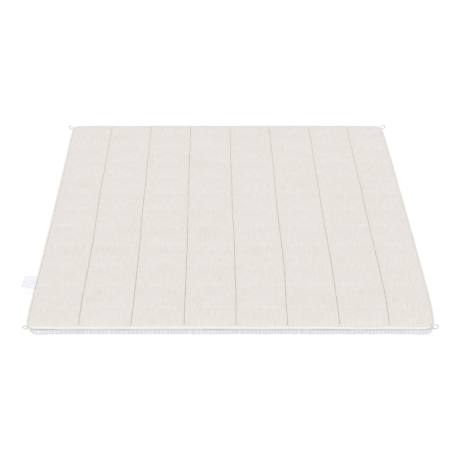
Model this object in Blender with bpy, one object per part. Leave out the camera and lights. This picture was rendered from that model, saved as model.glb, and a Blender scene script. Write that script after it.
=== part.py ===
# A filled, quilted blanket that lies flat: a woven top over a plush underside, with
# piping in the seam between them, a cord loop at each corner and one side label.
# Metres. +X is the blanket's right, +Y its far end and +Z up. The origin is on the
# surface that the blanket lies on, under the middle of the blanket with its label and
# loops.

import bisect
import math
import random

import bmesh
import bpy
from mathutils import Matrix, Vector

# Size over the piping
WIDTH = 1.3545
LENGTH = 2.000
CORNER_RADIUS = 0.040
BOW = 0.003  # the long sides lie this far to the right at their middle
NEAR_LEFT_DRAW = 0.0040  # the near corners are drawn in this far
NEAR_RIGHT_DRAW = 0.0113
CORNER_DRAW_REACH = 0.260
SWAY = 0.0065  # towards the near end the middle of the cloth lies this far right
SWAY_START = 0.15
SWAY_REACH = 0.70
SHIFT_RIGHT = 0.0140  # the panels' middle: the label sticks out on the left
SHIFT_BACK = 0.0028  # and one loop sticks out at the near end

# Pockets: their widths and lengths as shares of a whole pocket
COLUMN_SHARES = (1.00, 1, 1, 1, 1, 1, 1, 0.90)  # left to right
ROW_SHARES = (0.70, 1, 1, 1, 1, 1, 1, 1, 1, 1, 1, 0.81)  # near end to far end
COLUMN_DRIFT = 0.0015  # a seam in the middle lies this far right of its even place
ROW_DRIFT = 0.010  # and this far beyond it, towards the far end

# Heights above the floor
PIPING_HEIGHT = 0.0270
PIPING_RADIUS = 0.004
TOP_RIM_HEIGHT = 0.0290  # where the woven top meets the piping
CROWN_HEIGHT = 0.0405
PANEL_SEAM_HEIGHT = 0.0215  # where the woven top's filling lies on the plush
PIECE_GAP = 0.0003
PIPING_GAP = 0.0005  # wider, because the piping's straight facets cut its corners

# Shape of the woven top
LENGTHWISE_DEPTH = 0.0070  # at the seams that run from end to end
CROSS_DEPTH = 0.0035  # at the seams that run from side to side
TIGHT_REACH = 0.016  # how far the sharp part of a channel spreads
SOFT_REACH = 0.080  # how far the filling slopes down to a seam
TIGHT_SHARE = 0.6
RIM_REACH = 0.045  # how far in from the piping the crown is reached
SEAM_END = 0.036  # the channels fade out over this length at the rim
FILL_CHANGE = 0.0010  # how much fuller or flatter a pocket may be
FILL_SEED = 4

# Shape of the plush underside
PAD_CHANNEL_HEIGHT = 0.0030
PAD_CHANNEL_REACH = 0.012
PAD_INSET = 0.018  # the flat part of the underside starts this far in
SIDE_DRAW = 0.0020  # the plush is drawn in this far where a seam meets its side
SIDE_DRAW_REACH = 0.030
PLUSH_SIDE = (  # its rounded side, from the floor up
    {"inset": 0.0130, "height": 0.0015},
    {"inset": 0.0085, "height": 0.0055},
    {"inset": 0.0070, "height": 0.0115},
    {"inset": 0.0095, "height": 0.0170},
    {"inset": 0.0160, "height": PANEL_SEAM_HEIGHT - PIECE_GAP / 2},
)

# Corner loops: a teardrop of cord, its ends sewn in behind the piping
LOOP_CORD_RADIUS = 0.0020
LOOP_RADIUS = 0.0085
LOOP_CENTRE = 0.0165  # from the middle of the piping to the middle of the ring
LOOP_END_START = PIPING_RADIUS + PIECE_GAP
LOOP_STEM = 0.0065  # it leaves the seam squarely this far, then turns to its heading
LOOP_END_SPREAD = 0.0024  # each end lies this far from the loop's middle line
LOOP_ARC_STEPS = 13
LOOP_MOUTH = 38  # degrees: half of the ring's open side, towards the piping
CORNER_LOOPS = (  # degrees; root: place on the corner's arc; lean: from upright
    {"name": "corner_loop_front_left", "root": 226, "heading": 208, "lift": 8, "lean": 80},
    {"name": "corner_loop_front_right", "root": -44, "heading": 2, "lift": 10, "lean": 8},
    {"name": "corner_loop_back_left", "root": 150, "heading": 166, "lift": -4, "lean": -12},
    {"name": "corner_loop_back_right", "root": 34, "heading": 18, "lift": 10, "lean": 10},
)

# Side label: a strip of satin sewn in over the piping of the left side
LABEL_NEAR = -0.704
LABEL_FAR = -0.592
LABEL_TAPER = 0.006  # each end of the outer edge is this much shorter
LABEL_THICKNESS = 0.0010
LABEL_STEPS = 6
LABEL_TWIST = 0.004  # the near end of the outer edge is this much higher
LABEL_PATH = (  # across the label, from the seam outwards
    {"inset": 0.0088, "height": 0.0312},
    {"inset": 0.0040, "height": 0.0319},
    {"inset": -0.0060, "height": 0.0324},
    {"inset": -0.0170, "height": 0.0342},
    {"inset": -0.0280, "height": 0.0352},
    {"inset": -0.0370, "height": 0.0341},
    {"inset": -0.0440, "height": 0.0312},
)

# Spacing of the points of each panel's mesh, from a rim or from a seam
TOP_RIM_STEPS = (0, 0.006, 0.017, 0.0315)
TOP_SEAM_STEPS = (0, 0.008, 0.028)
PAD_RIM_STEPS = (0, 0.012, 0.026)
PAD_SEAM_STEPS = (0, PAD_CHANNEL_REACH)
CORNER_STEPS = 6
SHARP_ANGLE = 50  # degrees between faces that are shaded apart

TOP_INSET = 2 * PIPING_RADIUS + PIPING_GAP
HALF_WIDTH = WIDTH / 2
HALF_LENGTH = LENGTH / 2


def clear_scene():
    for obj in list(bpy.data.objects):
        bpy.data.objects.remove(obj, do_unlink=True)


def seam_places(total, shares, drift):
    whole = total / sum(shares)
    even = [whole * sum(shares[: index + 1]) - total / 2 for index in range(len(shares) - 1)]
    return [place + drift * (1 - (2 * place / total) ** 2) for place in even]


COLUMN_SEAMS = seam_places(WIDTH, COLUMN_SHARES, COLUMN_DRIFT)
ROW_SEAMS = seam_places(LENGTH, ROW_SHARES, ROW_DRIFT)


# Places on the blanket


def nearest(value, places):
    return min(abs(value - place) for place in places)


def rounded(x, y, inset):
    # Draws a square corner, at this inset from the outer edge, into a quarter circle.
    radius = CORNER_RADIUS - inset
    across = (abs(x) - (HALF_WIDTH - CORNER_RADIUS)) / radius
    along = (abs(y) - (HALF_LENGTH - CORNER_RADIUS)) / radius
    if across <= 0 or along <= 0:
        return x, y
    new_x = HALF_WIDTH - CORNER_RADIUS + radius * across * math.sqrt(1 - along**2 / 2)
    new_y = HALF_LENGTH - CORNER_RADIUS + radius * along * math.sqrt(1 - across**2 / 2)
    return math.copysign(new_x, x), math.copysign(new_y, y)


def outward(x, y):
    # The level direction that leads straight out of the blanket's rim.
    across = max(abs(x) - (HALF_WIDTH - CORNER_RADIUS), 0)
    along = max(abs(y) - (HALF_LENGTH - CORNER_RADIUS), 0)
    return Vector((math.copysign(across, x), math.copysign(along, y), 0)).normalized()


def bowed(point):
    # The blanket as it lies: its sides a little bowed, its near corners drawn in and its
    # lengthwise seams swayed, with the origin under the middle of the whole part.
    across = point.x / HALF_WIDTH
    bow = BOW * (1 - (point.y / HALF_LENGTH) ** 2)
    near = max(0.0, 1 - (HALF_LENGTH + point.y) / CORNER_DRAW_REACH)
    draw = (NEAR_RIGHT_DRAW if across > 0 else NEAR_LEFT_DRAW) * near**2 * across * abs(across)
    share = min(max((SWAY_START - point.y) / SWAY_REACH, 0.0), 1.0)
    sway = SWAY * share**2 * (3 - 2 * share) * max(0.0, 1 - across**2)
    return Vector((point.x + SHIFT_RIGHT + bow - draw + sway, point.y + SHIFT_BACK, point.z))


def dip(distance, reach):
    return max(0.0, 1 - distance / reach) ** 2


# Height of the woven top


def channel(distance):
    return TIGHT_SHARE * dip(distance, TIGHT_REACH) + (1 - TIGHT_SHARE) * dip(distance, SOFT_REACH)


def rim_fall(distance):
    # 1 at the piping, 0 where the crown is reached, round like the edge of a filled cloth.
    outer = max(0.0, 1 - distance / RIM_REACH)
    return 1 - math.sqrt(1 - outer**2)


def pocket_fills():
    chance = random.Random(FILL_SEED)
    return [[chance.uniform(-1, 1) for _ in ROW_SHARES] for _ in COLUMN_SHARES]


def bulge(value, seams, half):
    # 0 at both ends of the pocket that holds this value and 1 at its middle.
    edges = [-half, *seams, half]
    index = min(max(bisect.bisect_right(edges, value) - 1, 0), len(edges) - 2)
    share = (value - edges[index]) / (edges[index + 1] - edges[index])
    return index, math.sin(math.pi * min(max(share, 0), 1))


def top_height(x, y, fills):
    from_side = HALF_WIDTH - TOP_INSET - abs(x)
    from_end = HALF_LENGTH - TOP_INSET - abs(y)
    fade_x = 1 - dip(from_side, SEAM_END)
    fade_y = 1 - dip(from_end, SEAM_END)
    lengthwise = channel(nearest(x, COLUMN_SEAMS)) * fade_y
    cross = channel(nearest(y, ROW_SEAMS)) * fade_x
    sewn = LENGTHWISE_DEPTH * lengthwise + CROSS_DEPTH * cross * (1 - lengthwise)
    column, across = bulge(x, COLUMN_SEAMS, HALF_WIDTH)
    row, along = bulge(y, ROW_SEAMS, HALF_LENGTH)
    full = FILL_CHANGE * fills[column][row] * across * along
    fall = 1 - (1 - rim_fall(from_side)) * (1 - rim_fall(from_end))
    crown = CROWN_HEIGHT - sewn + full
    return crown + (TOP_RIM_HEIGHT - crown) * fall


# Panels


def grid_lines(seams, half, rim_steps, seam_steps, middle):
    edges = [-half, *seams, half]
    lines = []
    for start, end in zip(edges, edges[1:]):
        lines += [start + step for step in (rim_steps if start == -half else seam_steps)]
        if middle:
            lines.append((start + end) / 2)
        after = rim_steps if end == half else seam_steps
        lines += [end - step for step in reversed(after[1:])]
    return [*lines, half]


def rim_edges(bm):
    return [edge for edge in bm.edges if edge.is_boundary]


def extrude_rim(bm, move):
    grown = bmesh.ops.extrude_edge_only(bm, edges=rim_edges(bm))["geom"]
    for vert in (item for item in grown if isinstance(item, bmesh.types.BMVert)):
        vert.co = move(vert.co)


def close_rim(bm):
    # One flat face over the open rim, cut into a fan so that no sliver is left.
    filled = bmesh.ops.holes_fill(bm, edges=rim_edges(bm), sides=0)["faces"]
    bmesh.ops.poke(bm, faces=filled)


def panel(name, inset, rim_steps, seam_steps, middle, height, finish, material):
    across = grid_lines(COLUMN_SEAMS, HALF_WIDTH - inset, rim_steps, seam_steps, middle)
    along = grid_lines(ROW_SEAMS, HALF_LENGTH - inset, rim_steps, seam_steps, middle=False)
    bm = bmesh.new()
    bmesh.ops.create_grid(bm, x_segments=len(across) - 1, y_segments=len(along) - 1, size=1)
    bm.verts.ensure_lookup_table()
    for index, vert in enumerate(bm.verts):
        row, column = divmod(index, len(across))
        x, y = across[column], along[row]
        vert.co = Vector((*rounded(x, y, inset), height(x, y)))
    finish(bm)
    for vert in bm.verts:
        vert.co = bowed(vert.co)
    bmesh.ops.recalc_face_normals(bm, faces=bm.faces)
    return finished(bm, name, material)


def finished(bm, name, material):
    mesh = bpy.data.meshes.new(name)
    bm.to_mesh(mesh)
    bm.free()
    mesh.shade_smooth()
    mesh.set_sharp_from_angle(angle=math.radians(SHARP_ANGLE))
    return linked(name, mesh, material)


def linked(name, data, material):
    obj = bpy.data.objects.new(name, data)
    bpy.context.scene.collection.objects.link(obj)
    data.materials.append(material)
    return obj


def quilted_top(material):
    fills = pocket_fills()
    base = PANEL_SEAM_HEIGHT + PIECE_GAP / 2

    def finish(bm):
        extrude_rim(bm, lambda point: Vector((point.x, point.y, base)))
        close_rim(bm)

    return panel(
        "quilted_top",
        TOP_INSET,
        TOP_RIM_STEPS,
        TOP_SEAM_STEPS,
        True,
        lambda x, y: top_height(x, y, fills),
        finish,
        material,
    )


def plush_underside(material):
    def height(x, y):
        in_channel = max(
            1 - nearest(x, COLUMN_SEAMS) / PAD_CHANNEL_REACH,
            1 - nearest(y, ROW_SEAMS) / PAD_CHANNEL_REACH,
            0,
        )
        return PAD_CHANNEL_HEIGHT * in_channel

    def side(step, inset):
        def move(point):
            direction = outward(point.x, point.y)
            on_seam = dip(nearest(point.x, COLUMN_SEAMS), SIDE_DRAW_REACH) * abs(direction.y)
            on_seam += dip(nearest(point.y, ROW_SEAMS), SIDE_DRAW_REACH) * abs(direction.x)
            out = inset - step["inset"] - SIDE_DRAW * on_seam
            return Vector((point.x, point.y, 0)) + direction * out + Vector((0, 0, step["height"]))

        return move

    def finish(bm):
        inset = PAD_INSET
        for step in PLUSH_SIDE:
            extrude_rim(bm, side(step, inset))
            inset = step["inset"]
        close_rim(bm)

    return panel(
        "plush_underside",
        PAD_INSET,
        PAD_RIM_STEPS,
        PAD_SEAM_STEPS,
        False,
        height,
        finish,
        material,
    )


# Piping, loops and label


def outline(inset):
    # The rim's middle line at this inset, once round: its sides and its corner arcs. The
    # long sides are curved, so their points lie beside those of the woven top's rim.
    half_x, half_y = HALF_WIDTH - CORNER_RADIUS, HALF_LENGTH - CORNER_RADIUS
    radius = CORNER_RADIUS - inset
    step = TOP_SEAM_STEPS[-1]
    along = [seam + offset for seam in ROW_SEAMS for offset in (-step, 0, step)]
    sides = (
        [(half_x + radius, y) for y in along],
        [(x, half_y + radius) for x in reversed(COLUMN_SEAMS)],
        [(-half_x - radius, y) for y in reversed(along)],
        [(x, -half_y - radius) for x in COLUMN_SEAMS],
    )
    centres = ((half_x, half_y), (-half_x, half_y), (-half_x, -half_y), (half_x, -half_y))
    points = []
    for turn, (side, centre) in enumerate(zip(sides, centres)):
        points += side
        for step in range(CORNER_STEPS + 1):
            angle = math.pi / 2 * (turn + step / CORNER_STEPS)
            points.append(
                (centre[0] + radius * math.cos(angle), centre[1] + radius * math.sin(angle))
            )
    return points


def tube(name, points, radius, resolution, closed, material):
    curve = bpy.data.curves.new(name, "CURVE")
    curve.dimensions = "3D"
    curve.bevel_depth = radius
    curve.bevel_resolution = resolution
    curve.use_fill_caps = not closed
    spline = curve.splines.new("POLY")
    spline.points.add(len(points) - 1)
    for spline_point, point in zip(spline.points, points):
        spline_point.co = (*point, 1)
    spline.use_cyclic_u = closed
    spline.use_smooth = True
    return linked(name, curve, material)


def piping(material):
    points = [bowed(Vector((x, y, PIPING_HEIGHT))) for x, y in outline(PIPING_RADIUS)]
    return tube("piping", points, PIPING_RADIUS, 2, True, material)


def loop_path():
    # A teardrop, as distances out and up: one end, round the ring and the other end.
    mouth = math.radians(LOOP_MOUTH)
    path = [(LOOP_END_START, LOOP_END_SPREAD), (LOOP_STEM, LOOP_END_SPREAD)]
    for step in range(LOOP_ARC_STEPS):
        angle = (math.pi - mouth) * (1 - 2 * step / (LOOP_ARC_STEPS - 1))
        path.append((LOOP_CENTRE + LOOP_RADIUS * math.cos(angle), LOOP_RADIUS * math.sin(angle)))
    return [*path, (LOOP_STEM, -LOOP_END_SPREAD), (LOOP_END_START, -LOOP_END_SPREAD)]


def level_direction(degrees):
    angle = math.radians(degrees)
    return Vector((math.cos(angle), math.sin(angle), 0))


def loop_frame(loop):
    # Where the loop leaves the piping's middle line, and its square, out and up directions.
    centre = Vector(
        (
            (HALF_WIDTH - CORNER_RADIUS) * (1 if "right" in loop["name"] else -1),
            (HALF_LENGTH - CORNER_RADIUS) * (1 if "back" in loop["name"] else -1),
            PIPING_HEIGHT,
        )
    )
    square = level_direction(loop["root"])
    root = bowed(centre + square * (CORNER_RADIUS - PIPING_RADIUS))
    heading = level_direction(loop["heading"])
    sideways = Vector((-heading.y, heading.x, 0))
    out = Matrix.Rotation(math.radians(-loop["lift"]), 3, sideways) @ heading
    up = Matrix.Rotation(math.radians(loop["lean"]), 3, out) @ out.cross(sideways)
    return root, square, out, up


def corner_loop(loop, material):
    root, square, out, up = loop_frame(loop)
    level_up = (up - square * up.dot(square)).normalized()  # squarely across the stem
    points = []
    for reach, rise in loop_path():
        stem = min(reach, LOOP_STEM)
        spread = up if reach > stem else level_up
        points.append(root + square * stem + out * (reach - stem) + spread * rise)
    return tube(loop["name"], points, LOOP_CORD_RADIUS, 1, False, material)


def side_label(material):
    bm = bmesh.new()
    bmesh.ops.create_grid(bm, x_segments=len(LABEL_PATH) - 1, y_segments=LABEL_STEPS, size=1)
    bm.verts.ensure_lookup_table()
    for index, vert in enumerate(bm.verts):
        row, column = divmod(index, len(LABEL_PATH))
        place = LABEL_PATH[column]
        along = row / LABEL_STEPS
        out = max(-place["inset"], 0) / -LABEL_PATH[-1]["inset"]
        near = LABEL_NEAR + LABEL_TAPER * out
        far = LABEL_FAR - LABEL_TAPER * out
        rise = LABEL_TWIST * out * (1 - 2 * along)
        point = Vector((place["inset"] - HALF_WIDTH, near + (far - near) * along, place["height"]))
        vert.co = bowed(point + Vector((0, 0, rise)))
    obj = finished(bm, "side_label", material)
    sheet = obj.modifiers.new("Thickness", "SOLIDIFY")
    sheet.thickness = LABEL_THICKNESS
    sheet.offset = 0
    return obj


# Materials and assembly


def surface(name, colour, roughness):
    material = bpy.data.materials.new(name)
    material.use_nodes = True
    shader = material.node_tree.nodes["Principled BSDF"]
    shader.inputs["Base Color"].default_value = (*colour, 1)
    shader.inputs["Roughness"].default_value = roughness
    shader.inputs["Metallic"].default_value = 0
    return material


def main():
    clear_scene()
    quilted_top(surface("natural_weave", (0.80, 0.76, 0.71), 0.92))
    plush_underside(surface("white_plush", (0.79, 0.79, 0.86), 0.97))
    piping(surface("cream_piping", (0.88, 0.86, 0.82), 0.85))
    cord = surface("ecru_cord", (0.76, 0.70, 0.62), 0.88)
    for loop in CORNER_LOOPS:
        corner_loop(loop, cord)
    side_label(surface("white_satin", (0.88, 0.87, 0.91), 0.45))


main()
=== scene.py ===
# The looks of a filled, quilted blanket that lies flat: its woven top with the stitching,
# the ribbed plush under it, the piping between them, four cord loops and a bare label.
import math

import bpy
import numpy as np
from mathutils import Matrix, Vector
from mathutils.bvhtree import BVHTree


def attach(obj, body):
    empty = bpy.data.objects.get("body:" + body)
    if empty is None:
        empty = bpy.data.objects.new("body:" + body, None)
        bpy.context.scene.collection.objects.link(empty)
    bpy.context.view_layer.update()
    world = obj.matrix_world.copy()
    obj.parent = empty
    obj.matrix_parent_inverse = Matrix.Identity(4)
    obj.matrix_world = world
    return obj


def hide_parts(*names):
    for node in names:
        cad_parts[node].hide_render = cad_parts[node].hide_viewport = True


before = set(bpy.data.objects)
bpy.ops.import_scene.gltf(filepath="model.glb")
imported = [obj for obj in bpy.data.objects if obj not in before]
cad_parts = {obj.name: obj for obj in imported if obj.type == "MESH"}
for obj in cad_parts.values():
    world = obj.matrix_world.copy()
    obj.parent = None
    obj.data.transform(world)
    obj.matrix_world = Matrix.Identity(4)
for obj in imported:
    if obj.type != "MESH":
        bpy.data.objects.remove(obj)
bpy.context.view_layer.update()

blanket = {  # metres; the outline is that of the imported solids
    "width": 1.3545,
    "length": 2.000,
    "middle": (0.0140, 0.0028),  # of the panels: the label and a loop stick out past them
    "cornerRadius": 0.040,
    "bow": 0.003,  # both long sides lie this far right at their middle
    "nearLeftDraw": 0.0040,  # the near corners are drawn in this far
    "nearRightDraw": 0.0113,
    "cornerDrawReach": 0.260,
    "sway": 0.0065,  # towards the near end the middle of the cloth lies this far right
    "swayStart": 0.15,
    "swayReach": 0.70,
    "farSink": 0.105,  # the far end lies flatter than the solids by this share of its height
    "farCornerSink": 0.030,  # and its corners by this much more
    "farSinkReach": 0.20,
    "columns": (1.00, 1, 1, 1, 1, 1, 0.98, 0.92),  # pockets across, as shares of a whole one
    "rows": (0.70, 1, 1, 1, 1, 1, 1, 1, 1, 1, 1, 0.81),  # near end to far end
    "columnDrift": 0.0015,
    "rowDrift": 0.0005,
    "seamWander": 0.0022,  # a sewn line strays this far to each side
    "slowWander": 0.26,  # length of its slow bends, and of its quick ones
    "quickWander": 0.085,
    "quickShare": 0.25,
    "columnSeed": 31,
    "rowSeed": 41,
    "pipingRadius": 0.004,
    "pipingHeight": 0.0270,
}
halfWidth = blanket["width"] / 2
halfLength = blanket["length"] / 2


# Places on the blanket

uneven = {
    "grid": (97, 89),  # random heights across and along, before they repeat
    "start": 400,  # keeps each place on the positive side
    "seamsApart": 9.3,  # so that no two seams stray alike
}


def seamPlaces(total, shares, drift):
    even = np.cumsum(shares)[:-1] * total / sum(shares) - total / 2
    return even + drift * (1 - (2 * even / total) ** 2)


columnSeams = seamPlaces(blanket["width"], blanket["columns"], blanket["columnDrift"])
rowSeams = seamPlaces(blanket["length"], blanket["rows"], blanket["rowDrift"])


def unevenness(x, y, reach, seed):
    # A smooth height between -1 and 1 over x and y, with bumps about this reach across.
    columns, rows = uneven["grid"]
    heights = np.random.default_rng(seed).uniform(-1, 1, (columns, rows))
    x, y = np.asarray(x) / reach + uneven["start"], np.asarray(y) / reach + uneven["start"]
    x, y = np.broadcast_arrays(x, y)
    column, row = np.floor(x).astype(int), np.floor(y).astype(int)
    acrossShare, alongShare = x - column, y - row
    acrossShare = acrossShare**2 * (3 - 2 * acrossShare)
    alongShare = alongShare**2 * (3 - 2 * alongShare)

    def height(i, j):
        return heights[(column + i) % columns, (row + j) % rows]

    near = height(0, 0) * (1 - acrossShare) + height(1, 0) * acrossShare
    far = height(0, 1) * (1 - acrossShare) + height(1, 1) * acrossShare
    return near * (1 - alongShare) + far * alongShare


def waves(x, y, amount, reach, seed):
    # The settings hold the last three together, as one set of waves.
    return amount * unevenness(x, y, reach, seed)


def wander(index, along, seed):
    # How far the seam of this number strays from its straight line at each place along it.
    apart = index * uneven["seamsApart"]
    slow = unevenness(along, apart, blanket["slowWander"], seed)
    quick = unevenness(along, apart, blanket["quickWander"], seed + 1)
    share = blanket["quickShare"]
    return blanket["seamWander"] * ((1 - share) * slow + share * quick)


def strayed(places, seams, half, along, seed):
    # Moves places across the seams as the seams stray, row by row along them.
    strays = np.array([wander(index, along, seed) for index in range(len(seams))]).T
    ends = np.concatenate(([-half], seams, [half]))
    padded = np.pad(strays, ((0, 0), (1, 1)))
    return places + np.array([np.interp(places, ends, row) for row in padded])


def cornered(x, y, inset):
    # Draws the square corners, at this inset from the outer edge, into quarter circles.
    radius = blanket["cornerRadius"] - inset
    startX, startY = halfWidth - blanket["cornerRadius"], halfLength - blanket["cornerRadius"]
    across, along = (np.abs(x) - startX) / radius, (np.abs(y) - startY) / radius
    corner = (across > 0) & (along > 0)
    roundX = startX + radius * across * np.sqrt(np.clip(1 - along**2 / 2, 0, 1))
    roundY = startY + radius * along * np.sqrt(np.clip(1 - across**2 / 2, 0, 1))
    return np.where(corner, np.copysign(roundX, x), x), np.where(corner, np.copysign(roundY, y), y)


def outward(x, y):
    # The level direction straight out of the rim, zero away from it.
    across = np.maximum(np.abs(x) - (halfWidth - blanket["cornerRadius"]), 0)
    along = np.maximum(np.abs(y) - (halfLength - blanket["cornerRadius"]), 0)
    reach = np.maximum(np.hypot(across, along), 1e-9)
    return np.copysign(across / reach, x), np.copysign(along / reach, y)


def laidOut(points):
    # The blanket as it lies: its sides a little bowed, its near corners drawn in, its
    # lengthwise seams swayed and its far end a little flatter.
    points = np.array(points, float)
    y = points[..., 1].copy()
    across = points[..., 0] / halfWidth
    bow = blanket["bow"] * (1 - (y / halfLength) ** 2)
    near = np.maximum(0, 1 - (halfLength + y) / blanket["cornerDrawReach"])
    reach = np.where(across > 0, blanket["nearRightDraw"], blanket["nearLeftDraw"])
    draw = reach * near**2 * across * np.abs(across)
    sway = blanket["sway"] * smooth((blanket["swayStart"] - y) / blanket["swayReach"])
    points[..., 0] += bow - draw + sway * np.maximum(0, 1 - across**2)
    points[..., :2] += blanket["middle"]
    sink = blanket["farSink"] + blanket["farCornerSink"] * np.minimum(across**2, 1.1) ** 4
    points[..., 2] *= 1 - sink * smooth(1 - (halfLength - y) / blanket["farSinkReach"])
    return points


def smooth(share):
    # 0 below 0, 1 above 1 and level at both ends.
    share = np.clip(share, 0, 1)
    return share**2 * (3 - 2 * share)


def nearest(places, seams):
    return np.min(np.abs(np.asarray(places)[..., None] - seams), axis=-1)


def fromSeams(x, y):
    # How far each place is from a lengthwise and from a cross seam.
    return nearest(x, columnSeams), nearest(y, rowSeams)


def dip(distance, reach):
    return np.maximum(0, 1 - distance / reach) ** 2


def unit(vectors):
    return vectors / np.linalg.norm(vectors, axis=-1, keepdims=True)


def runAlong(line):
    # How far along the line each of its points lies.
    gaps = np.linalg.norm(np.diff(line, axis=0), axis=1)
    return np.concatenate(([0], np.cumsum(gaps)))


# Mesh work


def coordinates(obj):
    points = np.empty(len(obj.data.vertices) * 3, np.float32)
    obj.data.vertices.foreach_get("co", points)
    return points.reshape(-1, 3).astype(float)


def place(obj, points):
    obj.data.vertices.foreach_set("co", np.asarray(points, np.float32).ravel())
    obj.data.update()


def keepValues(obj, name, values):
    # A number at each point, which a material reads by its name.
    attribute = obj.data.attributes.new(name, "FLOAT", "POINT")
    attribute.data.foreach_set("value", np.asarray(values, np.float32).ravel())


def onlySelect(obj):
    bpy.ops.object.select_all(action="DESELECT")
    obj.select_set(True)
    bpy.context.view_layer.objects.active = obj


def added(name):
    obj = bpy.context.active_object
    obj.name = obj.data.name = name
    return obj


def flatPoints(x, y):
    return np.stack([x, y, np.zeros_like(x)], -1)


def grid(name, across, along):
    # A flat sheet with a mesh line at each of these places.
    bpy.ops.object.select_all(action="DESELECT")
    bpy.ops.mesh.primitive_grid_add(x_subdivisions=len(across) - 1, y_subdivisions=len(along) - 1)
    obj = added(name)
    place(obj, flatPoints(*np.meshgrid(across, along)))
    return obj


def applyModifiers(obj):
    onlySelect(obj)
    for modifier in list(obj.modifiers):
        bpy.ops.object.modifier_apply(modifier=modifier.name)


def modify(obj, kind, **settings):
    modifier = obj.modifiers.new(kind.title(), kind)
    for name, value in settings.items():
        setattr(modifier, name, value)
    applyModifiers(obj)


def editRim(obj):
    # Edit mode, with only the open rim selected.
    onlySelect(obj)
    bpy.ops.object.mode_set(mode="EDIT")
    bpy.ops.mesh.select_mode(type="EDGE")
    bpy.ops.mesh.select_all(action="DESELECT")
    bpy.ops.mesh.select_non_manifold(extend=False, use_multi_face=False, use_wire=False,
                                     use_non_contiguous=False, use_verts=False)


def turnFacesOut(obj):
    onlySelect(obj)
    bpy.ops.object.mode_set(mode="EDIT")
    bpy.ops.mesh.select_all(action="SELECT")
    bpy.ops.mesh.normals_make_consistent(inside=False)
    bpy.ops.object.mode_set(mode="OBJECT")


def extrudeRim(obj):
    # Grows a new ring of faces from the open rim and tells which points are new.
    editRim(obj)
    bpy.ops.mesh.extrude_edges_move()
    bpy.ops.object.mode_set(mode="OBJECT")
    chosen = np.zeros(len(obj.data.vertices), bool)
    obj.data.vertices.foreach_get("select", chosen)
    return chosen


def closeRim(obj):
    # A fan of faces over the open rim.
    editRim(obj)
    bpy.ops.mesh.edge_face_add()
    bpy.ops.mesh.poke()
    bpy.ops.object.mode_set(mode="OBJECT")
    turnFacesOut(obj)


def tube(name, path, radius, sides, closed):
    # A round cord along a path. Its points keep how far along and around they lie.
    radii = np.broadcast_to(radius, len(path))
    around = np.roll(path, -1, 0) - np.roll(path, 1, 0)
    heading = unit(around if closed else np.gradient(path, axis=0))
    side = np.zeros_like(path)
    upright = abs(heading[0][2]) > 0.9
    start = np.cross(heading[0], (1, 0, 0) if upright else (0, 0, 1))
    for index, direction in enumerate(heading):  # carries the first side along without a twist
        start = unit(start - direction * np.dot(start, direction))
        side[index] = start
    lift = np.cross(side, heading)
    angles = np.arange(sides) * 2 * math.pi / sides
    ring = side[:, None] * np.cos(angles)[:, None] + lift[:, None] * np.sin(angles)[:, None]
    points = path[:, None] + ring * radii[:, None, None]
    rings = len(path)
    faces = []
    for index in range(rings if closed else rings - 1):
        here, there = index * sides, (index + 1) % rings * sides
        for step in range(sides):
            turn = (step + 1) % sides
            faces.append((here + step, here + turn, there + turn, there + step))
    if not closed:
        faces.append(tuple(reversed(range(sides))))
        faces.append(tuple(range((rings - 1) * sides, rings * sides)))
    mesh = bpy.data.meshes.new(name)
    mesh.from_pydata(points.reshape(-1, 3).tolist(), [], faces)
    obj = bpy.data.objects.new(name, mesh)
    bpy.context.scene.collection.objects.link(obj)
    keepValues(obj, "along", np.repeat(runAlong(path), sides))
    keepValues(obj, "around", np.tile(angles, rings))
    turnFacesOut(obj)
    return obj


def joined(name, parts):
    bpy.ops.object.select_all(action="DESELECT")
    for part in parts:
        part.select_set(True)
    bpy.context.view_layer.objects.active = parts[0]
    bpy.ops.object.join()
    parts[0].name = parts[0].data.name = name
    return parts[0]


def finishPiece(obj, material, slot, *nodes):
    onlySelect(obj)
    bpy.ops.object.shade_smooth_by_angle(angle=math.radians(60))
    obj.data.materials.append(material)
    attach(obj, "root")
    if nodes:
        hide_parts(*nodes)
    print(f"{obj.name}: {sum(len(face.vertices) - 2 for face in obj.data.polygons)} triangles")


# Materials


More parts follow.
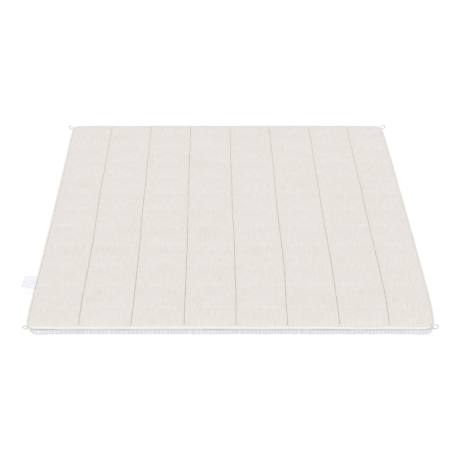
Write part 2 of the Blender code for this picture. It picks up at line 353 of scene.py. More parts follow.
class Field:
    # A number, colour or vector that varies over a piece; arithmetic on it adds nodes.

    def __init__(self, tree, socket):
        self.tree = tree
        self.socket = socket

    def node(self, kind, settings=None, inputs=None, result=0):
        made = self.tree.nodes.new(kind)
        for name, value in (settings or {}).items():
            setattr(made, name, value)
        for name, value in (inputs or {}).items():
            if isinstance(value, Field):
                self.tree.links.new(value.socket, made.inputs[name])
            else:
                made.inputs[name].default_value = value
        return Field(self.tree, made.outputs[result])

    def maths(self, operation, first, second=0.0):
        return self.node("ShaderNodeMath", {"operation": operation}, {0: first, 1: second})

    def __add__(self, other):
        return self.maths("ADD", self, other)

    __radd__ = __add__

    def __sub__(self, other):
        return self.maths("SUBTRACT", self, other)

    def __rsub__(self, other):
        return self.maths("SUBTRACT", other, self)

    def __mul__(self, other):
        return self.maths("MULTIPLY", self, other)

    __rmul__ = __mul__

    def sine(self):
        return self.maths("SINE", self)

    def between(self, low, high):
        # 0 below low, 1 above high and smooth from one to the other.
        return self.node(
            "ShaderNodeMapRange", {"interpolation_type": "SMOOTHSTEP"},
            {"Value": self, "From Min": low, "From Max": high},
        )

    def axes(self):
        return [self.node("ShaderNodeSeparateXYZ", None, {0: self}, axis) for axis in range(3)]

    def stretched(self, *scales):
        # By one number in all directions, or by one number in each.
        scales = scales if len(scales) == 3 else scales * 3
        return self.node("ShaderNodeVectorMath", {"operation": "MULTIPLY"}, {0: self, 1: scales})

    def noise(self, detail):
        # Centred on a half, one bump to a unit of this vector.
        inputs = {"Vector": self, "Scale": 1.0, "Detail": detail}
        return self.node("ShaderNodeTexNoise", None, inputs)

    def tinted(self, low, high):
        # The colour low where this is 0 and high where it is 1.
        return self.node(
            "ShaderNodeMix", {"data_type": "RGBA"}, {0: self, 6: (*low, 1), 7: (*high, 1)}, 2
        )

    def bump(self, height, below=None):
        # A normal from this relief, in metres at height; below is the normal under it.
        inputs = {"Height": self, "Distance": height, "Strength": 1.0}
        if below is not None:
            inputs["Normal"] = below
        return self.node("ShaderNodeBump", None, inputs)


class Finish:
    # A material with one shader; what varies is fed to it and what doesn't is set on it.

    def __init__(self, name, **fixed):
        self.material = bpy.data.materials.new(name)
        self.material.use_nodes = True
        self.tree = self.material.node_tree
        self.shader = self.tree.nodes["Principled BSDF"]
        for socket, value in fixed.items():
            self.shader.inputs[socket.replace("_", " ")].default_value = value
        places = self.tree.nodes.new("ShaderNodeTexCoord")
        self.place = Field(self.tree, places.outputs["Object"])

    def value(self, name):
        return self.place.node("ShaderNodeAttribute", {"attribute_name": name}, None, 2)

    def feed(self, socket, field):
        self.tree.links.new(field.socket, self.shader.inputs[socket])

    def colour(self, look, **parts):
        # Dark to pale, by a shade that starts even and is moved by each part in its share.
        shade = look["shades"]["even"]
        for name, part in parts.items():
            shade = shade + part * look["shades"][name]
        self.feed("Base Color", shade.between(0.0, 1.0).tinted(look["dark"], look["pale"]))


weave = {
    "thread": 0.00105,  # from one thread to the next
    "pale": (0.777, 0.743, 0.712),
    "dark": (0.710, 0.668, 0.620),
    "relief": 0.00012,
    "shades": {"even": 0.62, "thick": 0.5, "mottle": 1.25, "slow": 0.3, "crossing": 0.10},
    "slubLength": 0.009,
    "slubWidth": 0.0016,
    "mottleWidth": 0.0080,
    "mottleLength": 0.055,
    "slow": 9,  # waves to a metre
    "puckerLength": 0.007,
    "puckerWidth": 0.125,
    "puckerHeight": 0.0025,
    "puckerFade": 0.008,  # away from the seam
}


def naturalWeave():
    cloth = Finish("naturalWeave", Roughness=0.93, Sheen_Weight=0.06, Sheen_Roughness=0.5)
    here = cloth.place
    x, y, _ = here.axes()
    turn = math.pi / weave["thread"]
    crossing = (x * turn).sine() * (y * turn).sine()
    thin, long = 1 / weave["slubWidth"], 1 / weave["slubLength"]
    weft = here.stretched(long, thin, thin).noise(3)
    warp = here.stretched(thin, long, thin).noise(3)
    mottle = here.stretched(1 / weave["mottleWidth"], 1 / weave["mottleLength"], 1).noise(3)
    slow = here.stretched(weave["slow"]).noise(1)
    thick = (weft - 0.5) + (warp - 0.5)
    cloth.colour(weave, thick=thick, mottle=mottle - 0.5, slow=slow - 0.5, crossing=crossing)
    short, wide = 1 / weave["puckerLength"], 1 / weave["puckerWidth"]
    acrossSeam, alongSeam = cloth.value("nearCrossSeam"), cloth.value("nearLongSeam")
    puckers = here.stretched(short, wide, wide).noise(1) * acrossSeam
    puckers = puckers + here.stretched(wide, short, wide).noise(1) * alongSeam
    gathered = puckers.bump(weave["puckerHeight"])
    threads = crossing * 0.5 + thick * 1.6
    cloth.feed("Normal", threads.bump(weave["relief"], gathered))
    return cloth.material


# Pale on the ridges and dark in the valleys: the dark colour in the rib valleys is painted shade
# between the ribs.
plushLook = {
    "pale": (0.885, 0.875, 0.925),  # on the ridges
    "dark": (0.735, 0.720, 0.775),
    "tuft": 0.0022,
    "relief": 0.0012,
    # ribs: the share of the painted shade that darkens the valleys between the ribs
    "shades": {"even": 0.14, "ribs": 0.72, "tufts": 0.7, "hairs": 0.35},
}


def whitePlush():
    plush = Finish("whitePlush", Roughness=0.97, Sheen_Weight=0.35, Sheen_Roughness=0.4)
    here = plush.place
    fine = 1 / plushLook["tuft"]
    tufts = here.stretched(fine, fine, fine * 0.45).noise(3)
    hairs = here.stretched(fine * 3.5, fine * 3.5, fine * 0.7).noise(2)
    # The ridge value paints shade: darker colour in the valleys between the ribs, paler on their
    # tops.
    plush.colour(plushLook, ribs=plush.value("ridge"), tufts=tufts - 0.5, hairs=hairs - 0.5)
    plush.feed("Normal", (tufts + hairs * 0.6).bump(plushLook["relief"]))
    return plush.material


pipingLook = {
    "pale": (0.855, 0.832, 0.797),
    "dark": (0.771, 0.745, 0.701),
    "thread": 0.0009,
    "threadLean": 0.7,
    "slubs": 260,  # to a metre
    "spots": 60,
    "creases": 130,
    "relief": 0.00012,
    "creaseHeight": 0.0007,
    "shades": {"even": 0.6, "crossing": 0.16, "slubs": 0.6, "spots": 0.5},
}


def creamPiping():
    cover = Finish("creamPiping", Roughness=0.88, Sheen_Weight=0.08, Sheen_Roughness=0.5)
    along = cover.value("along")
    around = cover.value("around") * blanket["pipingRadius"]
    turn = math.pi / pipingLook["thread"] * pipingLook["threadLean"]
    crossing = ((along + around) * turn).sine() * ((along - around) * turn).sine()
    here = cover.place
    slubs = here.stretched(pipingLook["slubs"]).noise(3)
    spots = here.stretched(pipingLook["spots"]).noise(2)
    cover.colour(pipingLook, crossing=crossing, slubs=slubs - 0.5, spots=spots - 0.5)
    creases = here.stretched(pipingLook["creases"]).noise(1)
    creased = creases.bump(pipingLook["creaseHeight"])
    cover.feed("Normal", (crossing * 0.5).bump(pipingLook["relief"], creased))
    return cover.material


cordLook = {
    "pale": (0.80, 0.77, 0.72),
    "dark": (0.58, 0.55, 0.50),
    "fibres": 2600,  # radians to a metre along the strand
    "fuzz": 900,
    "relief": 0.00018,
    "shades": {"even": 0.55, "lines": 0.18, "fuzz": 1.1},
}


def ecruCord():
    cord = Finish("ecruCord", Roughness=0.9, Sheen_Weight=0.1, Sheen_Roughness=0.5)
    fibres = cord.value("along") * cordLook["fibres"] + cord.value("around") * 2
    lines = fibres.sine()
    fuzz = cord.place.stretched(cordLook["fuzz"]).noise(3)
    cord.colour(cordLook, lines=lines, fuzz=fuzz - 0.5)
    cord.feed("Normal", (lines * 0.5 + fuzz).bump(cordLook["relief"]))
    return cord.material


satinLook = {
    "pale": (0.90, 0.89, 0.93),
    "dark": (0.81, 0.80, 0.84),
    "rib": 0.00055,
    "threads": (90, 1900, 90),  # to a metre
    "soft": 70,
    "relief": 0.00005,
    "shades": {"even": 0.6, "ribs": 0.10, "threads": 0.7, "soft": 0.4},
}


def whiteSatin():
    satin = Finish(
        "whiteSatin", Roughness=0.42, Sheen_Weight=0.1, Anisotropic=0.5, Specular_IOR_Level=0.45
    )
    _, y, _ = satin.place.axes()
    ribs = (y * (math.pi / satinLook["rib"])).sine()
    threads = satin.place.stretched(*satinLook["threads"]).noise(2)
    soft = satin.place.stretched(satinLook["soft"]).noise(1)
    satin.colour(satinLook, ribs=ribs, threads=threads - 0.5, soft=soft - 0.5)
    satin.feed("Normal", (ribs * 0.4 + threads).bump(satinLook["relief"]))
    return satin.material


threadLook = {
    "ply": 1500,  # to a metre
    "slow": 25,
    "relief": 0.0002,
    "shades": {"even": 0.5, "ply": 1.2, "slow": 0.6},
}
threadColours = {
    # The label's grey thread is dark partly as painted shade, for the shadow where the label meets
    # the top cloth's edge.
    "greyShadeThread": {"dark": (0.17, 0.165, 0.18), "pale": (0.36, 0.35, 0.37)},
    "brownThread": {"dark": (0.23, 0.092, 0.012), "pale": (0.40, 0.200, 0.048)},
    "naturalThread": {"dark": (0.75, 0.715, 0.675), "pale": (0.85, 0.815, 0.78)},
}


def sewingThread(name):
    thread = Finish(name, Roughness=0.7, Sheen_Weight=0.15, Sheen_Roughness=0.4)
    ply = thread.place.stretched(threadLook["ply"]).noise(2)
    slow = thread.place.stretched(threadLook["slow"]).noise(1)
    thread.colour({**threadLook, **threadColours[name]}, ply=ply - 0.5, slow=slow - 0.5)
    thread.feed("Normal", ply.bump(threadLook["relief"]))
    return thread.material


# Woven top

top = {
    "inset": 0.0076,  # its edge meets the piping from behind, a little below its top
    "rim": 0.0297,
    "rimRound": 0.0003,  # and rounds down this far, over this length, into the crease
    "rimRoundReach": 0.0040,
    "wallInsets": (0.0085, 0.0090),
    "wallHeights": (0.0276, 0.02165),
    "level": 0.0366,  # height of the cross seams
    "swell": 0.45,  # share of the simulated swelling that is kept
    "swellLimit": 0.0052,
    "swellLow": -0.0006,
    "quickSwell": 0.010,  # without the simulation
    "quickReach": 0.05,
    "bumps": (0.0007, 0.110, 21),  # waves of the crowns: height, reach and seed
    "smallBumps": (0.0002, 0.030, 22),
    "farSlope": 0.40,  # share of a pocket that slopes gently down to its far seam
    "lean": 0.80,  # its crown is nearer its near seam; 1 would be its middle
    "longDip": 0.0026,  # the cloth slopes down this far to a lengthwise seam
    "longDipReach": 0.060,
    "longGroove": 0.0019,  # and this far more, steeply, at its stitches
    "crossGroove": 0.0002,
    "grooveReach": 0.0065,
    "rimReach": 0.045,  # the crown falls to the piping over this length
    "nearRimReach": 0.020,
    "nearDroop": 0.0042,  # the first row of pockets is this much flatter
    "nearDroopReach": 0.125,
    "seamEnd": 0.026,  # grooves fade out over this length at the rim
    "lines": (0, 0.0013, 0.003, 0.0055, 0.009, 0.0135, 0.019, 0.026, 0.034, 0.043, 0.053,
              0.064, 0.075),
    "wholeHalf": 0.0855,
}
topHalfX, topHalfY = halfWidth - top["inset"], halfLength - top["inset"]
settling = {
    "cell": 0.0086,
    "margin": 0.002,  # the loose sheet is this much wider all round
    "startHeight": 0.0012,
    "startBumps": (0.7, 0.045, 11),
    "startSmallBumps": (0.3, 0.017, 12),
    "startFlat": 0.012,  # it starts flat at the seams, rising over this length
    "frames": 12,
    "fabric": {
        "quality": 5,
        "mass": 0.3,
        "vertex_group_mass": "sewn",
        "use_pressure": True,
        "uniform_pressure_force": 3.0,
        "shrink_min": -0.012,  # the cloth is this share longer than its flat size
        "tension_stiffness": 15,
        "compression_stiffness": 5,
        "shear_stiffness": 5,
        "bending_stiffness": 8.0,
    },
}


def linesAt(seams, half, steps, wholeHalf):
    # Places of mesh lines: close together beside each seam and wide apart between them.
    ends = [-half, *seams, half]
    lines = []
    for start, end in zip(ends, ends[1:]):
        scaled = np.array(steps) * (end - start) / 2 / wholeHalf
        lines += [*(start + scaled), (start + end) / 2, *(end - scaled[:0:-1])]
    return np.array([*lines, half])


def evenLines(seams, half, cell):
    ends = [-half, *seams, half]
    parts = [np.linspace(a, b, max(2, round((b - a) / cell)), endpoint=False)
             for a, b in zip(ends, ends[1:])]
    return np.concatenate([*parts, [half]])


def settledSheet():
    # The top cloth by itself, held down along its seams while the filling swells it.
    halfX, halfY = topHalfX + settling["margin"], topHalfY + settling["margin"]
    across = evenLines(columnSeams, halfX, settling["cell"])
    along = evenLines(rowSeams, halfY, settling["cell"])
    sheet = grid("settlingSheet", across, along)
    points = coordinates(sheet)
    x, y = points[:, 0], points[:, 1]
    fromSeam = np.minimum(*fromSeams(x, y))
    loose = np.minimum(fromSeam, np.minimum(halfX - np.abs(x), halfY - np.abs(y)))
    bumps = waves(x, y, *settling["startBumps"]) + waves(x, y, *settling["startSmallBumps"])
    rising = np.clip(loose / settling["startFlat"], 0, 1)
    points[:, 2] = settling["startHeight"] * bumps * rising
    place(sheet, points)
    sewn = sheet.vertex_groups.new(name="sewn")
    sewn.add(np.flatnonzero(loose < 1e-5).tolist(), 1.0, "REPLACE")
    onlySelect(sheet)
    bpy.ops.object.modifier_add(type="CLOTH")
    cloth = sheet.modifiers[-1]
    cloth.collision_settings.use_collision = False
    for name, value in settling["fabric"].items():
        setattr(cloth.settings, name, value)
    cloth.settings.effector_weights.gravity = 0
    cloth.point_cache.frame_end = settling["frames"]
    for step in range(1, settling["frames"] + 1):
        bpy.context.scene.frame_set(step)
    applyModifiers(sheet)
    bpy.context.scene.frame_set(1)
    modify(sheet, "SUBSURF", levels=1, render_levels=1)
    return sheet


def swelling(obj):
    # How far the filling lifts each point of the flat top, from the settled sheet.
    flat = coordinates(obj)
    sheet = settledSheet()
    pocket, share = pocketShare(flat[:, 1])
    leaning = flat.copy()
    leaning[:, 1] = pocket[0] + (pocket[1] - pocket[0]) * share ** top["lean"]
    place(obj, leaning)
    modify(obj, "SHRINKWRAP", target=sheet, wrap_method="PROJECT", use_project_z=True,
           use_negative_direction=True)
    lifted = coordinates(obj)[:, 2] - flat[:, 2]
    bpy.data.objects.remove(sheet, do_unlink=True)
    return lifted * smooth((1 - share) / top["farSlope"])


def pocketShare(y):
    # The near and far end of the pocket at each y, and how far between them it lies.
    ends = np.array([-topHalfY, *rowSeams, topHalfY])
    index = np.clip(np.searchsorted(ends, y, side="right") - 1, 0, len(ends) - 2)
    near, far = ends[index], ends[index + 1]
    return (near, far), np.clip((y - near) / (far - near), 0, 1)


def topHeight(x, y, lift):
    fromSide, fromEnd = topHalfX - np.abs(x), topHalfY - np.abs(y)
    fadeX, fadeY = 1 - dip(fromSide, top["seamEnd"]), 1 - dip(fromEnd, top["seamEnd"])
    longSeam, crossSeam = fromSeams(x, y)
    slope = top["longDip"] * dip(longSeam, top["longDipReach"]) * fadeY
    longGroove = dip(longSeam, top["grooveReach"]) * fadeY
    crossGroove = dip(crossSeam, top["grooveReach"]) * fadeX * (1 - longGroove)
    lifted = np.clip(lift * top["swell"], top["swellLow"], top["swellLimit"])
    crown = top["level"] + lifted - slope
    crown += waves(x, y, *top["bumps"]) + waves(x, y, *top["smallBumps"])
    crown -= top["longGroove"] * longGroove + top["crossGroove"] * crossGroove
    crown -= top["nearDroop"] * smooth(1 - (halfLength + y) / top["nearDroopReach"])

    def fall(distance, reach):
        return 1 - np.sqrt(1 - np.clip(1 - distance / reach, 0, 1) ** 2)

    endReach = np.where(y < 0, top["nearRimReach"], top["rimReach"])
    rim = 1 - (1 - fall(fromSide, top["rimReach"])) * (1 - fall(fromEnd, endReach))
    crease = top["rimRound"] * dip(np.minimum(fromSide, fromEnd), top["rimRoundReach"])
    return crown + (top["rim"] + top["rimRound"] - crown) * rim - crease + overLabel(x, y)


def overLabel(x, y):
    # The edge is lifted a little where the label comes out from under it.
    middle, half = (label["near"] + label["far"]) / 2, (label["far"] - label["near"]) / 2
    reach = label["seamLiftReach"]
    window = smooth((half + reach - np.abs(y - middle)) / reach)
    return label["seamLift"] * window * dip(topHalfX + x, reach)


def quiltedTop(material):
    across = linesAt(columnSeams, topHalfX, top["lines"], top["wholeHalf"])
    along = linesAt(rowSeams, topHalfY, top["lines"], top["wholeHalf"])
    obj = grid("quiltedTop", across, along)
    x, y, _ = coordinates(obj).T
    height = topHeight(x, y, swelling(obj))
    longSeam, crossSeam = fromSeams(x, y)
    keepValues(obj, "nearLongSeam", np.exp(-longSeam / weave["puckerFade"]))
    keepValues(obj, "nearCrossSeam", np.exp(-crossSeam / weave["puckerFade"]))
    shape = (len(along), len(across))
    strayX = strayed(across, columnSeams, topHalfX, along, blanket["columnSeed"]).reshape(shape)
    strayY = strayed(along, rowSeams, topHalfY, across, blanket["rowSeed"]).T.reshape(shape)
    roundX, roundY = cornered(strayX.ravel(), strayY.ravel(), top["inset"])
    place(obj, np.stack([roundX, roundY, height], -1))
    inset = top["inset"]
    for nextInset, nextHeight in zip(top["wallInsets"], top["wallHeights"]):
        new = extrudeRim(obj)
        points = coordinates(obj)
        x, y = points[new, 0], points[new, 1]
        outX, outY = outward(x, y)
        points[new, 0] = x - outX * (nextInset - inset)
        points[new, 1] = y - outY * (nextInset - inset)
        points[new, 2] = nextHeight + overLabel(x, y) * (nextInset == top["wallInsets"][0])
        place(obj, points)
        inset = nextInset
    closeRim(obj)
    place(obj, laidOut(coordinates(obj)))
    finishPiece(obj, material, "natural_weave", "quilted_top")
    return obj


# Plush underside

plush = {
    "inset": 0.0165,  # the flat part that rests starts this far in
    "insets": (0.0106, 0.0086, 0.0074, 0.0067, 0.0063, 0.0061, 0.0060, 0.0063, 0.0075),
    "heights": (0.0009, 0.0030, 0.0058, 0.0086, 0.0114, 0.0142, 0.0168, 0.0192, 0.02135),
    "rib": 0.0125,  # from one rib to the next, on average
    "ribHeight": 0.0019,
    "ribSharp": 0.7,
    "ribDrift": (0.9, 0.052, 51),  # turns that the ribs drift sideways
    "ribQuickDrift": (0.22, 0.014, 53),
    "ribEven": 0.72,  # share of the ribs' height that doesn't vary
    "ribVaried": (0.28, 0.031, 52),
    "ribSlowness": 0.2,  # along a rib everything varies five times as slowly as across
    "bulge": (0.0012, 0.060, 55),
    "edgeWave": (0.0007, 0.014, 56),
    "edgeHeight": 0.005,
    "cornerFill": 0.0045,  # at a corner its end stands this much further out
    "cornerFillReach": 0.055,
    "cornerSide": 0.0010,  # and its side this much
    "nearLeftSide": -0.0060,
    "channel": 0.0030,
    "channelReach": 0.012,
    "sideDraw": 0.0020,
    "sideDrawReach": 0.030,
    "acrossStep": 0.0018,
    "alongLines": (0, 0.008, 0.022, 0.050),
    "wholeHalf": 0.087,
    "ribMiddle": 0.6,
    "side": (0.0008, 0.0212),  # heights between which the side swells
    "sideHeight": 0.0235,
    "cornerIn": 0.012,
}


def ribs(across, along):
    # 1 on the top of a rib and 0 in the valley between two; the ribs run lengthwise.
    slowly = along * plush["ribSlowness"]
    turns = across / plush["rib"] + waves(across, slowly, *plush["ribDrift"])
    turns = turns + waves(across, slowly, *plush["ribQuickDrift"])
    width = plush["ribEven"] + waves(across, slowly, *plush["ribVaried"])
    return np.abs(np.cos(math.pi * turns)) ** plush["ribSharp"] * width


def plushUnderside(material):
    halfX, halfY = halfWidth - plush["inset"], halfLength - plush["inset"]
    across = np.linspace(-halfX, halfX, round(2 * halfX / plush["acrossStep"]))
    along = linesAt(rowSeams, halfY, plush["alongLines"], plush["wholeHalf"])
    obj = grid("plushUnderside", across, along)
    x, y, _ = coordinates(obj).T
    ridge = ribs(x, y)
    sewn = np.maximum(0, 1 - np.minimum(*fromSeams(x, y)) / plush["channelReach"])
    valley = plush["ribHeight"] * plush["ribMiddle"] * (1 - ridge)
    height = np.maximum(plush["channel"] * sewn, valley)
    roundX, roundY = cornered(x, y, plush["inset"])
    place(obj, np.stack([roundX, roundY, height], -1))
    inset, before, run = plush["inset"], 0.0, 0.0
    for nextInset, nextHeight in zip(plush["insets"], plush["heights"]):
        new = extrudeRim(obj)
        points = coordinates(obj)
        x, y = points[new, 0], points[new, 1]
        outX, outY = outward(x, y)
        run += math.hypot(nextInset - inset, nextHeight - before)
        ridgeHere = ribs(x + outX * run, y)
        longSeam, crossSeam = fromSeams(x, y)
        drawn = dip(longSeam, plush["sideDrawReach"]) * np.abs(outY)
        drawn += dip(crossSeam, plush["sideDrawReach"]) * np.abs(outX)
        reach = inset - nextInset - plush["sideDraw"] * drawn * (nextInset == plush["insets"][0])
        points[new, 0] = x + outX * reach
        points[new, 1] = y + outY * reach
        points[new, 2] = nextHeight
        place(obj, points)
        ridge = np.concatenate([ridge, ridgeHere])
        inset, before = nextInset, nextHeight
    closeRim(obj)
    ridge = np.concatenate([ridge, np.ones(len(obj.data.vertices) - len(ridge))])
    place(obj, laidOut(swollenSide(coordinates(obj), ridge)))
    # The material reads this to paint shade, darker in the valleys between the ribs.
    keepValues(obj, "ridge", ridge)
    finishPiece(obj, material, "white_plush", "plush_underside")


def swollenSide(points, ridge):
    # Pushes the ribs out of the plush's side, most at its middle, and waves its lower edge.
    x, y, z = points.T
    outX, outY = outward(x, y)
    low, high = plush["side"]
    onSide = (np.hypot(outX, outY) > 0.5) & (z > low) & (z < high)
    bulge = np.sin(math.pi * np.clip(z / plush["sideHeight"], 0, 1)) ** 0.5 * onSide
    out = plush["ribHeight"] * (ridge - plush["ribMiddle"]) * bulge
    out += waves(x, y, *plush["bulge"]) * bulge
    z = z + waves(x, y, *plush["edgeWave"]) * (onSide & (z < plush["edgeHeight"]))
    fromCorner = np.hypot(
        halfWidth - plush["cornerIn"] - np.abs(x), halfLength - plush["cornerIn"] - np.abs(y)
    )
    share = np.exp(-((fromCorner / plush["cornerFillReach"]) ** 2)) * (1.2 - z / 0.10)
    sideways = np.where((x < 0) & (y < 0), plush["nearLeftSide"], plush["cornerSide"])
    filledX = np.sign(x) * sideways * share
    filledY = np.sign(y) * plush["cornerFill"] * share
    return np.stack([x + outX * out + filledX, y + outY * out + filledY, z], -1)


# Piping

piping = {
    "step": 0.006,
    "cornerSteps": 14,
    "sides": 16,
    "rise": (0.0006, 0.090, 61),  # waves up and down, and out and in
    "stray": (0.0003, 0.070, 62),
    "thicker": (0.03, 0.018, 63),  # share of its radius
}


def rimLine(inset, step, cornerSteps):
    # Once round the rim at this inset: straight sides and corner arcs.
    reach = blanket["cornerRadius"] - inset
    halfX, halfY = halfWidth - blanket["cornerRadius"], halfLength - blanket["cornerRadius"]
    centres = ((halfX, halfY), (-halfX, halfY), (-halfX, -halfY), (halfX, -halfY))
    corners = []
    for turn, centre in enumerate(centres):
        angles = math.pi / 2 * (turn + np.arange(cornerSteps + 1) / cornerSteps)
        corners.append(np.array(centre) + reach * np.stack([np.cos(angles), np.sin(angles)], -1))
    parts = []
    for corner, following in zip(corners, corners[1:] + corners[:1]):
        span = np.linalg.norm(following[0] - corner[-1])
        shares = np.linspace(0, 1, max(2, round(span / step)) + 1)[1:-1, None]
        parts += [corner, corner[-1] + (following[0] - corner[-1]) * shares]
    return np.vstack(parts)


def pipingCord(material):
    line = rimLine(blanket["pipingRadius"], piping["step"], piping["cornerSteps"])
    x, y = line.T
    height = blanket["pipingHeight"] + waves(x, y, *piping["rise"])
    outX, outY = outward(x, y)
    stray = waves(x, y, *piping["stray"])
    path = laidOut(np.stack([x + outX * stray, y + outY * stray, height], -1))
    radius = blanket["pipingRadius"] * (1 + waves(x, y, *piping["thicker"]))
    obj = tube("pipingCord", path, radius, piping["sides"], True)
    finishPiece(obj, material, "cream_piping", "piping")


# Corner loops

loopLook = {
    "radius": 0.0085,
    "centre": 0.0165,
    "start": blanket["pipingRadius"] - 0.0005,
    "stem": 0.0065,
    "spread": 0.0024,
    "mouth": 38,
    "halfSteps": 20,  # points in each half of the ring
    "step": 0.0006,
    "smoothing": 14,
    "strands": 3,
    "strandSides": 8,
    "strandRadius": 0.00125,
    "strandOffset": 0.00100,
    "twist": 0.0085,  # length of one turn
}
cornerLoops = (  # degrees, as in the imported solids
    {"name": "cornerLoopFrontLeft", "node": "corner_loop_front_left", "side": -1, "end": -1,
     "root": 226, "heading": 208, "lift": 8, "lean": 80},
    {"name": "cornerLoopFrontRight", "node": "corner_loop_front_right", "side": 1, "end": -1,
     "root": -44, "heading": 2, "lift": 10, "lean": 8},
    {"name": "cornerLoopBackLeft", "node": "corner_loop_back_left", "side": -1, "end": 1,
     "root": 150, "heading": 166, "lift": -4, "lean": -12},
    {"name": "cornerLoopBackRight", "node": "corner_loop_back_right", "side": 1, "end": 1,
     "root": 34, "heading": 18, "lift": 10, "lean": 10},
)


def level(degrees):
    return Vector((math.cos(math.radians(degrees)), math.sin(math.radians(degrees)), 0))


def smoothed(path, passes):
    for _ in range(passes):
        path[1:-1] = path[1:-1] * 0.5 + (path[:-2] + path[2:]) * 0.25
    return path


def evenly(path, step):
    reach = runAlong(path)
    wanted = np.linspace(0, reach[-1], max(8, round(reach[-1] / step)))
    return np.stack([np.interp(wanted, reach, path[:, axis]) for axis in range(3)], -1)


def loopPath(loop):
    # A teardrop of cord whose two ends go in behind the piping.
    square, heading = level(loop["root"]), level(loop["heading"])
    centre = Vector((
        (halfWidth - blanket["cornerRadius"]) * loop["side"],
        (halfLength - blanket["cornerRadius"]) * loop["end"],
        blanket["pipingHeight"],
    ))
    start = centre + square * (blanket["cornerRadius"] - blanket["pipingRadius"])
    root = Vector(laidOut(np.array(start)))
    sideways = Vector((-heading.y, heading.x, 0))
    out = Matrix.Rotation(math.radians(-loop["lift"]), 3, sideways) @ heading
    up = Matrix.Rotation(math.radians(loop["lean"]), 3, out) @ out.cross(sideways)
    levelUp = (up - square * up.dot(square)).normalized()
    points = []

    def stemPoint(reach, rise):
        points.append(root + square * reach + levelUp * rise)

    stemPoint(loopLook["start"], loopLook["spread"])
    stemPoint(loopLook["stem"], loopLook["spread"])
    reach = math.pi - math.radians(loopLook["mouth"])
    for step in range(2 * loopLook["halfSteps"] + 1):
        angle = reach * (1 - step / loopLook["halfSteps"])
        ahead = loopLook["centre"] + loopLook["radius"] * math.cos(angle) - loopLook["stem"]
        middle = root + square * loopLook["stem"] + out * ahead
        points.append(middle + up * loopLook["radius"] * math.sin(angle))
    stemPoint(loopLook["stem"], -loopLook["spread"])
    stemPoint(loopLook["start"], -loopLook["spread"])
    return smoothed(evenly(np.array(points), loopLook["step"]), loopLook["smoothing"])


def cornerLoop(loop, material):
    path = loopPath(loop)
    heading = unit(np.gradient(path, axis=0))
    reach = runAlong(path)
    throughRing = np.cross(path[5] - path[-5], path[len(path) // 2] - path[5])
    side = unit(np.cross(heading, throughRing))
    lift = np.cross(side, heading)
    strands = []
    for strand in range(loopLook["strands"]):
        angle = 2 * math.pi * (reach / loopLook["twist"] + strand / loopLook["strands"])
        offset = side * np.cos(angle)[:, None] + lift * np.sin(angle)[:, None]
        line = path + offset * loopLook["strandOffset"]
        strands.append(tube(f"strand{strand}", line, loopLook["strandRadius"],
                            loopLook["strandSides"], False))
    obj = joined(loop["name"], strands)
    finishPiece(obj, material, "ecru_cord", loop["node"])


# Side label

label = {
    "near": -0.704,
    "far": -0.592,
    "taper": 0.006,
    "insets": (0.0084, 0.0062, 0.0040, -0.0060, -0.0170, -0.0280, -0.0370, -0.0436),
    "heights": (0.0305, 0.0314, 0.0319, 0.0324, 0.0342, 0.0352, 0.0341, 0.0312),
    "seamLift": 0.0022,  # the top cloth's edge is lifted this far over it
    "seamLiftReach": 0.016,
    "layerGap": 0.0006,  # between the two layers of the folded ribbon
    "ribbon": 0.0003,
    "twist": 0.004,
    "foldedWidth": 0.0535,  # half of the ribbon's own width, seam allowance included
    "acrossPoints": 29,
    "alongPoints": 41,
    "wave": (0.0014, 0.035, 71),
    "parting": 0.0003,  # the layers part this far further, unevenly
    "uneven": (1, 0.02, 72),
    "stitchInset": 0.0064,
    "stitchEnd": 0.003,
    "stitchStep": 0.002,
}


def curveThrough(values, shares):
    # A smooth run through evenly numbered values.
    places = np.arange(len(values))
    wanted = shares * (len(values) - 1)
    slopes = np.gradient(np.array(values, float))
    index = np.clip(wanted.astype(int), 0, len(values) - 2)
    t = wanted - places[index]
    a, b = np.array(values)[index], np.array(values)[index + 1]
    m, n = slopes[index], slopes[index + 1]
    return (a * (1 + 2 * t) * (1 - t) ** 2 + m * t * (1 - t) ** 2
            + b * t**2 * (3 - 2 * t) - n * t**2 * (1 - t))


def sideLabel(material):
    points = label["acrossPoints"]
    out = np.linspace(0, 1, points)
    inset, height = curveThrough(label["insets"], out), curveThrough(label["heights"], out)
    run = np.concatenate([out, out[::-1]])
    insets = np.concatenate([inset, inset[::-1]])
    gap = label["layerGap"] / 2 * np.sqrt(np.clip(1 - run**14, 0, 1))
    heights = np.concatenate([height, height[::-1]])
    heights = heights + np.concatenate([gap[:points], -gap[points:]])
    share = np.linspace(0, 1, label["alongPoints"])
    obj = grid("sideLabel", run, share)
    column, row = np.meshgrid(np.arange(2 * points), np.arange(label["alongPoints"]))
    away, layer = run[column], np.where(column < points, 1, -1)
    near = label["near"] + label["taper"] * away
    far = label["far"] - label["taper"] * away
    y = near + (far - near) * share[row]
    z = heights[column] + label["twist"] * away * (1 - 2 * share[row])
    z = z + away * waves(y, away * 0.03, *label["wave"])
    z = z + label["parting"] * away * layer * (1 + waves(y, away * 0.02, *label["uneven"]))
    x = insets[column] - halfWidth
    place(obj, laidOut(np.stack([x, y, z], -1)))
    modify(obj, "SOLIDIFY", thickness=label["ribbon"], offset=0)
    finishPiece(obj, material, "white_satin", "side_label")
    return obj


# Stitching

sewing = {
    "pitch": 0.0052,
    "length": 0.0045,
    "width": 0.00134,
    "nearWider": 0.50,  # a stitch at the near end is this much wider than in the middle
    "height": 0.0008,
    "lift": 0.00045,
    "end": 0.014,  # a row stops this far from the edge of the top
    "blunt": 0.8,
    "turnDown": 1.6,
    "lineStep": 0.004,
    "above": 0.2,  # the cloth's height is felt for from here
}


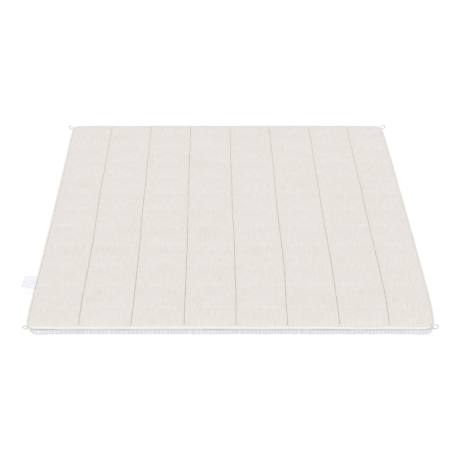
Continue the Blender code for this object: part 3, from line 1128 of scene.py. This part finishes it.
def stitch(name):
    # One stitch, long in x, its ends turned down into the cloth.
    bpy.ops.object.select_all(action="DESELECT")
    bpy.ops.mesh.primitive_uv_sphere_add(segments=6, ring_count=5, radius=0.5)
    obj = added(name)
    bpy.ops.object.mode_set(mode="EDIT")
    bpy.ops.mesh.select_all(action="SELECT")
    bpy.ops.transform.rotate(value=math.pi / 2, orient_axis="Y", center_override=(0, 0, 0))
    bpy.ops.transform.resize(value=(sewing["length"], sewing["width"], sewing["height"]))
    bpy.ops.object.mode_set(mode="OBJECT")
    points = coordinates(obj)
    reach = np.abs(points[:, 0]) / (sewing["length"] / 2)
    points[:, 0] = np.sign(points[:, 0]) * sewing["length"] / 2 * reach ** sewing["blunt"]
    points[:, 2] += sewing["lift"] * (1 - sewing["turnDown"] * reach**2)
    place(obj, points)
    return obj


def stitchRow(name, length):
    obj = stitch(name)
    modify(obj, "ARRAY", count=int(length / sewing["pitch"]), use_relative_offset=False,
           use_constant_offset=True, constant_offset_displace=(sewing["pitch"], 0, 0))
    return obj


def laidOnTop(obj, line, surface):
    # Lays a straight row of stitches along a line on the cloth.
    reach = runAlong(line[:, :2])
    down = Vector((0, 0, -1))
    heights = [surface.ray_cast(Vector((*point[:2], sewing["above"])), down)[0].z for point in line]
    points = coordinates(obj)
    along = points[:, 0] + sewing["pitch"] / 2
    heading = unit(np.gradient(line[:, :2], axis=0))
    x, y, z = (np.interp(along, reach, values) for values in (*line[:, :2].T, heights))
    turnX, turnY = (np.interp(along, reach, values) for values in heading.T)
    side = points[:, 1] * (1 - sewing["nearWider"] * y / halfLength)
    place(obj, np.stack([x - turnY * side, y + turnX * side, z + points[:, 2]], -1))


def seamLine(index, lengthwise):
    # The line of a seam, its places shifted along it as the seams that cross it stray.
    columns = (columnSeams, topHalfX, blanket["columnSeed"])
    rows = (rowSeams, topHalfY, blanket["rowSeed"])
    (seams, _, seed), crossing = (columns, rows) if lengthwise else (rows, columns)
    crossingSeams, half, crossingSeed = crossing
    along = np.arange(sewing["end"] - half, half - sewing["end"], sewing["lineStep"])
    sideways = seams[index] + wander(index, along, seed)
    onward = strayed(along, crossingSeams, half, seams[index:index + 1], crossingSeed)[0]
    x, y = (sideways, onward) if lengthwise else (onward, sideways)
    return laidOut(flatPoints(x, y))


def labelSeamShadeStitching(surface, material):
    # One row of dark grey stitches along the seam where the label comes out, sewn through the
    # label. Their dark grey is also painted shade, standing in for the shadow in the gap between
    # the label and the top cloth.
    near, far = label["near"] + label["stitchEnd"], label["far"] - label["stitchEnd"]
    y = np.arange(near, far, label["stitchStep"])
    line = laidOut(flatPoints(np.full_like(y, label["stitchInset"] - halfWidth), y))
    obj = stitchRow("labelSeamShadeStitching", line[-1, 1] - line[0, 1])
    laidOnTop(obj, line, surface)
    finishPiece(obj, material, "white_satin")


def stitching(name, lengthwise, surface, material):
    rows = []
    for index in range(len(columnSeams if lengthwise else rowSeams)):
        line = seamLine(index, lengthwise)
        row = stitchRow(f"stitchRow{index}", runAlong(line[:, :2])[-1])
        laidOnTop(row, line, surface)
        rows.append(row)
    finishPiece(joined(name, rows), material, "natural_weave")


# Floor, light and camera

studio = {
    "floorPale": (0.30, 0.30, 0.30),
    "floorDark": (0.2985, 0.2985, 0.2985),
    "floorGlow": 0.74,  # a lit table: it leaves only a faint shadow
    "skyStrength": 0.74,
    "sunStrength": 1.157,
    "sunSoftness": 35,
    "sunTurn": (24, 0, 3),
    "lens": 128.26,
    "shift": 0.0289,
    "eye": (-0.0328, -5.7928, 2.4069),
    "tilt": 67.05,
}


def whiteFloor():
    bpy.ops.object.select_all(action="DESELECT")
    bpy.ops.mesh.primitive_plane_add(size=60)
    floor = added("floor")
    paper = Finish("floorPaper", Roughness=0.9, Emission_Strength=studio["floorGlow"])
    grain = paper.place.stretched(2).noise(2)
    paper.feed("Base Color", grain.tinted(studio["floorDark"], studio["floorPale"]))
    floor.data.materials.append(paper.material)


def lights():
    world = bpy.data.worlds.new("studioSky")
    world.use_nodes = True
    sky = world.node_tree.nodes["Background"]
    sky.inputs["Color"].default_value = (1, 1, 1, 1)
    sky.inputs["Strength"].default_value = studio["skyStrength"]
    bpy.context.scene.world = world
    turn = [math.radians(value) for value in studio["sunTurn"]]
    bpy.ops.object.light_add(type="SUN", rotation=turn)
    lamp = added("softLamp")
    lamp.data.energy = studio["sunStrength"]
    lamp.data.angle = math.radians(studio["sunSoftness"])


def camera():
    turn = (math.radians(studio["tilt"]), 0, 0)
    bpy.ops.object.camera_add(location=studio["eye"], rotation=turn)
    eye = added("photoCamera")
    eye.data.lens = studio["lens"]
    eye.data.sensor_width = 36
    eye.data.shift_x = studio["shift"]
    bpy.context.scene.camera = eye


def main():
    camera()
    lights()
    whiteFloor()
    bpy.context.scene.view_settings.view_transform = "Standard"
    print("stage ready")
    cloth = quiltedTop(naturalWeave())
    plushUnderside(whitePlush())
    pipingCord(creamPiping())
    cord = ecruCord()
    for loop in cornerLoops:
        cornerLoop(loop, cord)
    tag = sideLabel(whiteSatin())
    tagSurface = BVHTree.FromObject(tag, bpy.context.evaluated_depsgraph_get())
    labelSeamShadeStitching(tagSurface, sewingThread("greyShadeThread"))
    surface = BVHTree.FromObject(cloth, bpy.context.evaluated_depsgraph_get())
    stitching("lengthwiseStitching", True, surface, sewingThread("brownThread"))
    stitching("crossStitching", False, surface, sewingThread("naturalThread"))


main()
